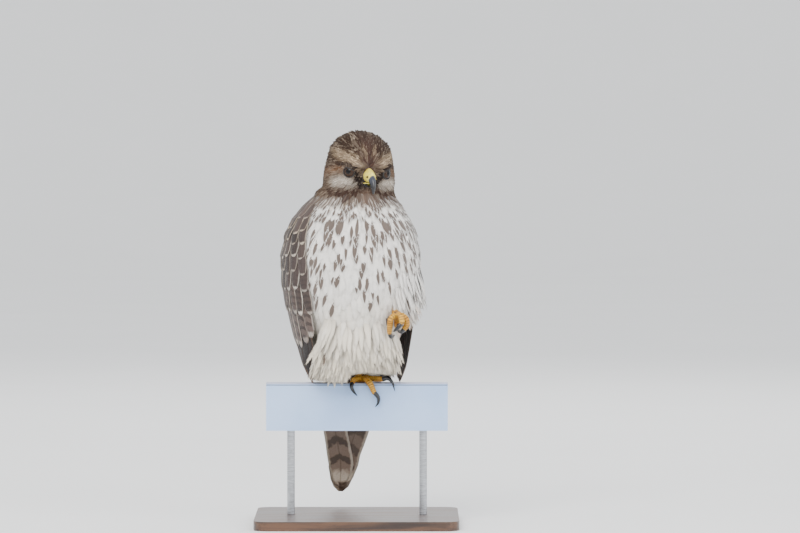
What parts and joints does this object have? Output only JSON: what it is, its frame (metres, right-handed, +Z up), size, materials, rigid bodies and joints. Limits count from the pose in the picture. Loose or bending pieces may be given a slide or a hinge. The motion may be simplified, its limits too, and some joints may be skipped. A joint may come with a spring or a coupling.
{
  "type": "hawk, perched bird of prey model",
  "caption": "Life-size still hawk in streaked first-year plumage, standing on one foot with the other clenched and raised, on a short length of rail held up by a plain display stand.",
  "frame": {"origin": "centre of the stand base's underside, at floor level", "axes": "+Z up, -Y the way the bird faces, +X to the viewer's right"},
  "size_m": [0.264, 0.224, 0.5115],
  "materials": {
    "plumage_head": "matt brown feathers with buff streaks",
    "plumage_body": "matt white to cream feathers with brown drops",
    "flight_feathers": "smooth dark brown feathers, barred and edged buff",
    "foot_skin": "yellow scaled skin",
    "cere": "waxy yellow skin",
    "horn": "glossy blue-black horn",
    "eye": "wet dark brown",
    "rail_paint": "pale blue-white satin paint",
    "stand_board": "dark satin board",
    "stand_steel": "brushed"
  },
  "bodies": {
    "root": {"stand_base": "stand_board", "perch_rail": "rail_paint", "stand_rod_right": "stand_steel", "stand_rod_left": "stand_steel", "head": "plumage_head", "eye_right": "eye", "eye_left": "eye", "cere": "cere", "bill_upper": "horn", "bill_lower": "horn", "torso": "plumage_body", "thigh_right": "plumage_body", "thigh_left": "plumage_body", "tail": "flight_feathers", "wing_right": "flight_feathers", "wing_left": "flight_feathers", "shank_left": "foot_skin", "foot_left": "foot_skin", "toe_left_outer": "foot_skin", "claw_left_outer": "horn", "toe_left_middle": "foot_skin", "claw_left_middle": "horn", "toe_left_inner": "foot_skin", "claw_left_inner": "horn", "toe_left_hallux": "foot_skin", "claw_left_hallux": "horn", "shank_right": "foot_skin", "foot_right": "foot_skin", "toe_right_hallux": "foot_skin", "claw_right_hallux": "horn", "toe_right_inner": "foot_skin", "claw_right_inner": "horn", "toe_right_middle": "foot_skin", "claw_right_middle": "horn", "toe_right_outer": "foot_skin", "claw_right_outer": "horn"}
  },
  "joints": []
}
